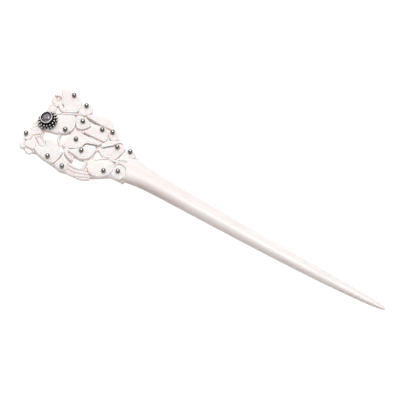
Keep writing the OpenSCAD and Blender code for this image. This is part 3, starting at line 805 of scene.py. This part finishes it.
def rosette_frame():
    """The rosette's axes and origin, from the middles of its post and of its back plate."""
    post = sum(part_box("rosette_post"), Vector()) / 2
    plate = sum(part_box("rosette_plate"), Vector()) / 2
    axis = (plate - post).normalized()
    origin = post + axis * (POST_DEPTH - PLATE_THICKNESS) / 2 * MM
    lean = Vector((0, 0, 1)).rotation_difference(axis).to_matrix().to_4x4()
    return Matrix.Translation(origin) @ lean @ Matrix.Rotation(math.radians(SEAT_TURN), 4, "Z")


def turned_about(matrix, obj):
    """Radius and height of each point of an object, in mm, about the axis of the rosette."""
    inverse = np.array(matrix.inverted())
    points = points_of(obj) @ inverse[:3, :3].T + inverse[:3, 3] / MM
    return np.hypot(points[:, 0], points[:, 1]), points[:, 2]


def make_rosette_plate(matrix):
    """Back plate of the rosette, with a hole for its post."""
    hole, rim, top, edge = POST_RADIUS + SLIP, PLATE_RADIUS, PLATE_THICKNESS, 0.16
    profile = [(hole, 0), (rim - edge, 0), (rim, edge), (rim + 0.02, top / 2), (rim, top - 0.12),
               (rim - edge, top), (hole, top), (hole, 0)]
    return turned("rosette_back_plate", profile, 96, 0.012, matrix, tarnish_and_shade=0.7)


def make_rosette_post(matrix):
    """Post of the rosette, slightly thinner towards its end in the bone."""
    side, top, end = POST_RADIUS, PLATE_THICKNESS, -POST_DEPTH
    profile = [(0, end), (side - 0.12, end), (side - 0.04, end + 0.1), (side - 0.02, end / 2), (side, 0),
               (side, top - 0.05), (side - 0.06, top), (0, top)]
    return turned("rosette_rivet", profile, 40, 0.02, matrix, tarnish_and_shade=0.4)


def make_rosette_dome(matrix):
    """Domed skirt under the granules, with a trough for each ring of them."""
    outside = [(PLATE_RADIUS - 0.04, PLATE_THICKNESS), (PLATE_RADIUS, PLATE_THICKNESS + 0.04)]
    for (radius, height, _), stop in zip(GRANULE_RINGS.values(), (-214, -222)):
        outside += arc((radius, height), GRANULE_RADIUS + SLIP, -96, stop, 13)
    outside += [(BEZEL_RADIUS + 0.3, DOME_TOP - 0.1), (BEZEL_RADIUS + 0.23, DOME_TOP)]
    outside += [(BEZEL_RADIUS + SLIP, DOME_TOP), (BEZEL_RADIUS + SLIP, BEZEL_FLOOR), (0, BEZEL_FLOOR)]
    inner = PLATE_RADIUS - 0.5
    inside = [(0, 2.05), (inner - 1.4, 2.05), (inner - 1, 1.4), (inner, PLATE_THICKNESS + 0.05),
              (inner, PLATE_THICKNESS), outside[0]]
    return turned("rosette_dome_sheet", outside + inside, 128, 0.006, matrix, tarnish_and_shade=1.0)


def make_granules(node, matrix, draw):
    """One ring of soldered granules, none quite the same as the next."""
    ring_radius, height, first = GRANULE_RINGS[node]
    count = math.floor(math.pi / math.asin(GRANULE_SPREAD * GRANULE_RADIUS / ring_radius))
    bm = bmesh.new()
    for k in range(count):
        a = math.radians(first) + 2 * math.pi * (k + draw.uniform(-0.04, 0.04)) / count
        size = GRANULE_RADIUS * draw.uniform(0.93, 1.0) * MM
        ball = bmesh.ops.create_icosphere(bm, subdivisions=3, radius=size)["verts"]
        squash = Matrix.Diagonal((draw.uniform(0.96, 1), draw.uniform(0.96, 1), draw.uniform(0.9, 0.98), 1))
        turn = Matrix.Rotation(draw.uniform(0, math.pi), 4, Vector((draw.random(), draw.random(), 0.2)))
        centre = Vector((math.cos(a) * ring_radius, math.sin(a) * ring_radius, height))
        place = matrix @ Matrix.Translation(centre * MM)
        bmesh.ops.transform(bm, matrix=place @ squash @ turn, verts=ball)
    obj = bmesh_object(node.replace("granules", "beads"), bm)
    obj.data.shade_smooth()
    # Polished above and blackened below: partly tarnish, partly painted shade and dark reflection round
    # each granule
    above = turned_about(matrix, obj)[1] - height
    mark(obj, "tarnish_and_shade", 1 - smoothstep(above, 0, GRANULE_RADIUS * 0.8))
    return obj


def make_bezel(matrix):
    """Cup that holds the stone: a thin rim rubbed down by hand, and a blackened bevel inside it, its black
    also painted shade.
    """
    side, floor, top = BEZEL_RADIUS, BEZEL_FLOOR, BEZEL_TOP
    seat, inner, lip = STONE_RADIUS - 0.4, STONE_RADIUS + SLIP, STONE_RADIUS - BEZEL_LIP
    rim = side - BEZEL_RIM
    thickness, edge = 0.2, 0.11
    profile = [(0, floor), (side - 0.06, floor), (side, floor + 0.06), (side, top - 0.9),
               (side, top - 0.6), (side, top - 0.3)]
    profile += arc((side - edge, top - edge - 0.01), edge, 0, 90, 5)
    profile += [(rim, top - 0.02), (rim - 0.04, top - 0.07), (lip + 0.15, GIRDLE_TOP + 0.24),
                (lip, GIRDLE_TOP + 0.13), (inner, GIRDLE_TOP + 0.05), (inner, GIRDLE - SLIP),
                (seat, GIRDLE - 0.4), (seat, floor + thickness), (0, floor + thickness)]
    points, faces = lathe(profile, 96, wobble=0.008, seed=3)
    rubbed = [Vector(p) for p in points]
    for p in rubbed:
        if p.z > top - 0.25:
            a = math.atan2(p.y, p.x)
            p.z -= 0.03 + 0.03 * math.sin(9 * a) * math.sin(4 * a + 1)
    bezel = clean(mesh_object("rosette_bezel", rubbed, faces, matrix))
    radius, height = turned_about(matrix, bezel)
    # The bevel is black all round, tarnish and painted shade of its inner wall; the outer wall darkens
    # downwards, the cup under the stone stays bright
    wall = 1 - smoothstep(height, top - 1, top - 0.6)
    bevel = np.where(height > GIRDLE_TOP, 1.0, 0.2)
    mark(bezel, "tarnish_and_shade", np.where(radius > rim - 0.02, wall, bevel))
    return bezel


def make_stone(matrix):
    """Round brilliant: a table, stars, kites and halves above the girdle, mains and halves below it."""
    table = STONE_RADIUS * 0.56
    girdle = STONE_RADIUS - 0.03
    # Radius, height, count and offset of each ring of points, from the table down to the culet
    rings = [(table, GIRDLE_TOP + CROWN, 8, 0),
             (STONE_RADIUS * 0.77, GIRDLE_TOP + CROWN * 0.52, 8, 0.5),
             (girdle - 0.06, GIRDLE_TOP, 16, 0),
             (girdle, (GIRDLE + GIRDLE_TOP) / 2, 16, 0),
             (girdle - 0.06, GIRDLE, 16, 0),
             (STONE_RADIUS * 0.6, GIRDLE - PAVILION * 0.55, 8, 0.5),
             (0.22, GIRDLE - PAVILION, 8, 0)]
    points = []
    for radius, height, count, offset in rings:
        for k in range(count):
            a = 2 * math.pi * (k + offset) / count
            points.append((radius * math.cos(a), radius * math.sin(a), height))
    # Where each ring's points start, after the table's own at 0
    star, upper, middle, lower, pavilion, culet = 8, 16, 32, 48, 64, 72
    faces = [tuple(range(8))]
    for k in range(8):
        after, before = (k + 1) % 8, (k - 1) % 8
        half, following = 2 * k + 1, (2 * k + 2) % 16
        faces.append((k, star + k, after))
        faces.append((k, star + before, upper + 2 * k, star + k))
        faces.append((star + k, upper + 2 * k, upper + half))
        faces.append((star + k, upper + half, upper + following))
        faces.append((pavilion + k, lower + half, lower + 2 * k))
        faces.append((pavilion + k, lower + following, lower + half))
        faces.append((culet + k, pavilion + k, lower + 2 * k, pavilion + before))
        faces.append((culet + k, culet + after, pavilion + k))
    for top, under in ((upper, middle), (middle, lower)):
        for k in range(16):
            after = (k + 1) % 16
            faces.append((top + k, under + k, under + after, top + after))
    faces.append(tuple(range(culet + 7, culet - 1, -1)))
    stone = clean(mesh_object("rosette_gem", points, faces, matrix))
    stone.data.shade_flat()
    return stone


# --- Materials ---

WHITE = (1.0, 1.0, 1.0)
BONE_WARM, BONE_PALE = (0.87, 0.805, 0.79), (0.89, 0.845, 0.83)
BONE_GRAIN = (0.93, 0.895, 0.875)
BONE_PORE = (0.72, 0.62, 0.55)
BONE_GRIME_SHADE = (0.72, 0.49, 0.41)    # brown grime and painted shade in the grooves
BONE_FLANK_SHADE = (0.50, 0.40, 0.37)  # painted shade on the lower side
GEM_DEEP, GEM_PALE = (0.30, 0.22, 0.29), (0.52, 0.42, 0.50)
PAPER_DARK, PAPER_PALE = (0.20, 0.20, 0.20), (0.24, 0.24, 0.24)
# Bright tone, dark tone (tarnish, and painted shade where its mask says) and roughness of each kind of
# silver
SILVERS = {"polished_silver": ((0.48, 0.46, 0.445), (0.14, 0.115, 0.105), 0.14),
           "bright_silver": ((0.84, 0.82, 0.79), (0.012, 0.011, 0.01), 0.24),
           "blackened_silver": ((0.10, 0.095, 0.09), (0.01, 0.009, 0.009), 0.36)}


class Nodes:
    """A node material under construction, with coordinates in mm."""

    def __init__(self, name):
        self.material = bpy.data.materials.new(name)
        self.material.use_nodes = True
        self.tree = self.material.node_tree
        self.shader = self.tree.nodes["Principled BSDF"]
        self.coordinates = self.node("TexCoord").outputs["Object"]

    def feed(self, node, **inputs):
        """Gives a node's inputs their values or links, with _ for the spaces in their names."""
        for name, value in inputs.items():
            socket = node.inputs[name.replace("_", " ")]
            if isinstance(value, bpy.types.NodeSocket):
                self.tree.links.new(value, socket)
            elif socket.type == "RGBA":
                socket.default_value = (*value, 1)
            else:
                socket.default_value = value

    def finish(self, **inputs):
        """Feeds the shader itself and gives the material."""
        self.feed(self.shader, **inputs)
        return self.material

    def node(self, kind, **inputs):
        node = self.tree.nodes.new("ShaderNode" + kind)
        self.feed(node, **inputs)
        return node

    def noise(self, scale, stretch=(1, 1, 1), detail=4.0, roughness=0.5):
        """Noise with so many features to a mm, drawn out along an axis where stretch is under 1."""
        mapping = self.node("Mapping", Vector=self.coordinates, Scale=[s / MM for s in stretch])
        texture = self.node("TexNoise", Vector=mapping.outputs["Vector"], Scale=scale, Detail=detail,
                            Roughness=roughness)
        return texture.outputs["Fac"]

    def attribute(self, name):
        node = self.node("Attribute")
        node.attribute_name = name
        return node.outputs["Fac"]

    def ramp(self, value, stops):
        """Colours or greys between stops of (place, colour)."""
        node = self.node("ValToRGB", Fac=value)
        elements = node.color_ramp.elements
        while len(elements) < len(stops):
            elements.new(0.5)
        for element, (place, colour) in zip(elements, stops):
            element.position = place
            element.color = (*np.broadcast_to(colour, 3), 1)
        return node.outputs["Color"]

    def mix(self, share, a, b, blend="MIX"):
        """Colours mixed by a share, each given as a value or an output."""
        node = self.node("Mix")
        node.data_type = "RGBA"
        node.blend_type = blend
        self.feed(node, Factor=share, A=a, B=b)
        return node.outputs["Result"]

    def bump(self, height, depth, **under):
        """Bump of a depth in mm, on top of another if one is given as Normal."""
        node = self.node("Bump", Height=height, Distance=depth * MM, Strength=1.0, **under)
        return node.outputs["Normal"]


def bone_material():
    """Polished bone: pale, faintly pink, with lengthwise grain; brown grime and painted shade in its
    grooves, painted shade on its lower side.
    """
    n = Nodes("carved_bone")
    clouds = n.ramp(n.noise(0.09, (0.5, 1, 1), 3), [(0.35, BONE_WARM), (0.65, BONE_PALE)])
    grain = n.ramp(n.noise(2.2, (0.05, 1, 1), 5, 0.6), [(0.36, BONE_GRAIN), (0.56, WHITE)])
    colour = n.mix(0.55, clouds, grain, "MULTIPLY")
    pores = n.ramp(n.noise(5.0, (0.09, 1, 1), 2), [(0.27, BONE_PORE), (0.33, WHITE)])
    colour = n.mix(0.5, colour, pores, "MULTIPLY")
    # Brown grime and painted shade in the grooves, strongest where a point lies deepest below the carving
    # round it
    grime_shade = n.ramp(n.attribute("recess"), [(0.0, 0.0), (0.3, 0.03), (1.0, 0.3)])
    colour = n.mix(grime_shade, colour, BONE_GRIME_SHADE)
    # Painted shade on the shaft's lower side and the head's rim
    flank_shading = n.ramp(n.attribute("flank_shade"), [(0.0, 0.0), (1.0, 0.82)])
    colour = n.mix(flank_shading, colour, BONE_FLANK_SHADE)
    rough = n.ramp(n.noise(0.8, detail=3), [(0.3, 0.30), (0.7, 0.42)])
    fine = n.bump(n.noise(2.6, (0.06, 1, 1), 4), 0.02)
    uneven = n.bump(n.noise(0.55, detail=2), 0.05, Normal=fine)
    return n.finish(Base_Color=colour, Roughness=rough, Normal=uneven, IOR=1.54, Subsurface_Weight=0.35,
                    Subsurface_Radius=(1.0, 0.6, 0.45), Subsurface_Scale=0.8 * MM, Coat_Weight=0.12,
                    Coat_Roughness=0.2)


def silver_material(name, bright, dark, rough):
    """Silver between a bright and a dark tone, darkest where its mask of tarnish and painted shade says."""
    n = Nodes(name)
    patches = n.ramp(n.noise(1.6, detail=5), [(0.35, 0.0), (0.7, 1.0)])
    # Tarnish and painted shade from each piece's mask, with random patches
    patina_and_shade = n.mix(0.3, n.attribute("tarnish_and_shade"), patches, "SCREEN")
    smudges = n.ramp(n.noise(3.5, detail=3), [(0.3, rough), (0.7, rough + 0.12)])
    scratches = n.bump(n.noise(9.0, (1, 0.12, 0.4), 3), 0.008)
    dents = n.bump(n.noise(1.2, detail=2), 0.035, Normal=scratches)
    return n.finish(Base_Color=n.mix(patina_and_shade, bright, dark), Roughness=smudges, Normal=dents, Metallic=1.0)


def gem_material():
    """Lilac stone, clear, with faint clouds of deeper colour."""
    n = Nodes("lilac_gem")
    colour = n.ramp(n.noise(0.7, detail=3), [(0.3, GEM_DEEP), (0.7, GEM_PALE)])
    rough = n.ramp(n.noise(4.0, detail=2), [(0.4, 0.03), (0.7, 0.07)])
    return n.finish(Base_Color=colour, Roughness=rough, IOR=1.76, Transmission_Weight=0.75,
                    Coat_Weight=0.5, Coat_IOR=1.7)


def floor_material():
    """White paper, lit from behind as well, so that no shadow shows on it."""
    n = Nodes("white_paper")
    colour = n.ramp(n.noise(0.02, detail=2), [(0.3, PAPER_DARK), (0.7, PAPER_PALE)])
    return n.finish(Base_Color=colour, Roughness=0.9, Emission_Color=WHITE, Emission_Strength=0.93)


# --- Stage ---

VIEW_AZIMUTH = 31.4      # degrees round the object, 0 looking along +Y
VIEW_ELEVATION = 63      # degrees above the horizon
VIEW_TARGET = Vector((-7.5, 3.2, 0)) * MM
VIEW_WIDTH = 175.4 * MM  # how much of the scene the picture takes in across
SENSOR, LENS = 36, 800   # a very long lens, in mm, for next to no perspective


def direction(azimuth, elevation):
    """Unit vector from the object towards a place round it, in degrees."""
    a, e = math.radians(azimuth), math.radians(elevation)
    return Vector((math.sin(a) * math.cos(e), -math.cos(a) * math.cos(e), math.sin(e)))


def make_camera():
    back = direction(VIEW_AZIMUTH, VIEW_ELEVATION)
    data = bpy.data.cameras.new("camera")
    data.sensor_width, data.lens = SENSOR, LENS
    camera = linked("camera", data)
    camera.location = VIEW_TARGET + back * VIEW_WIDTH * LENS / SENSOR
    camera.rotation_mode = "QUATERNION"
    camera.rotation_quaternion = (-back).to_track_quat("-Z", "Y")
    bpy.context.scene.camera = camera


def make_light(name, azimuth, elevation, distance, size, power):
    """Square light with its size in m and power in W, aimed at the pin and hidden from the camera."""
    data = bpy.data.lights.new(name, "AREA")
    data.size, data.energy = size, power
    light = linked(name, data)
    towards = direction(azimuth, elevation)
    light.location = VIEW_TARGET + towards * distance
    light.rotation_euler = (-towards).to_track_quat("-Z", "Y").to_euler()
    light.visible_camera = False


def make_world(brightness):
    """Even white light from all round."""
    world = bpy.data.worlds.new("studio")
    world.use_nodes = True
    background = world.node_tree.nodes["Background"]
    background.inputs["Color"].default_value = (*WHITE, 1)
    background.inputs["Strength"].default_value = brightness
    bpy.context.scene.world = world


def make_floor():
    """Sheet of paper just under the pin, falling away a little towards its edges."""
    size, cells, gap, fall = 4.0, 24, 0.02 * MM, 2 * MM
    bm = bmesh.new()
    bmesh.ops.create_grid(bm, x_segments=cells, y_segments=cells, size=size / 2)
    for v in bm.verts:
        v.co.z = -gap - fall * smoothstep(v.co.length, 0.6, 2.0)
    floor = bmesh_object("floor", bm)
    floor.data.materials.append(floor_material())


# --- Assembly ---

def finish_piece(obj, node, material):
    """Gives a piece its material and puts it in a CAD node's place."""
    obj.data.materials.append(material)
    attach(obj, "root")
    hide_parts(node)


def make_pin():
    """Every piece, in its node's place; the two rings of granules share one run of random draws."""
    bone = bone_material()
    polished, bright, blackened = (silver_material(name, *look) for name, look in SILVERS.items())
    matrix = rosette_frame()
    finish_piece(make_bone(matrix), "bone_pin", bone)
    studs = sorted(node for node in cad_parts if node.startswith("ball_stud_"))
    for number, node in enumerate(studs, 1):
        finish_piece(make_ball_stud(node, number), node, polished)
    draw = random.Random(GRANULE_SEED)
    finish_piece(make_rosette_plate(matrix), "rosette_plate", blackened)
    finish_piece(make_rosette_post(matrix), "rosette_post", polished)
    finish_piece(make_rosette_dome(matrix), "rosette_dome", blackened)
    for node in GRANULE_RINGS:
        finish_piece(make_granules(node, matrix, draw), node, bright)
    finish_piece(make_bezel(matrix), "bezel_cup", bright)
    finish_piece(make_stone(matrix), "stone", gem_material())


make_pin()
make_floor()
make_world(brightness=0.23)
make_light("key", azimuth=223, elevation=47, distance=0.9, size=1.2, power=4.9)
make_light("overhead", azimuth=211.4, elevation=87, distance=0.8, size=0.42, power=3.9)
make_camera()
bpy.context.scene.view_settings.view_transform = "Standard"
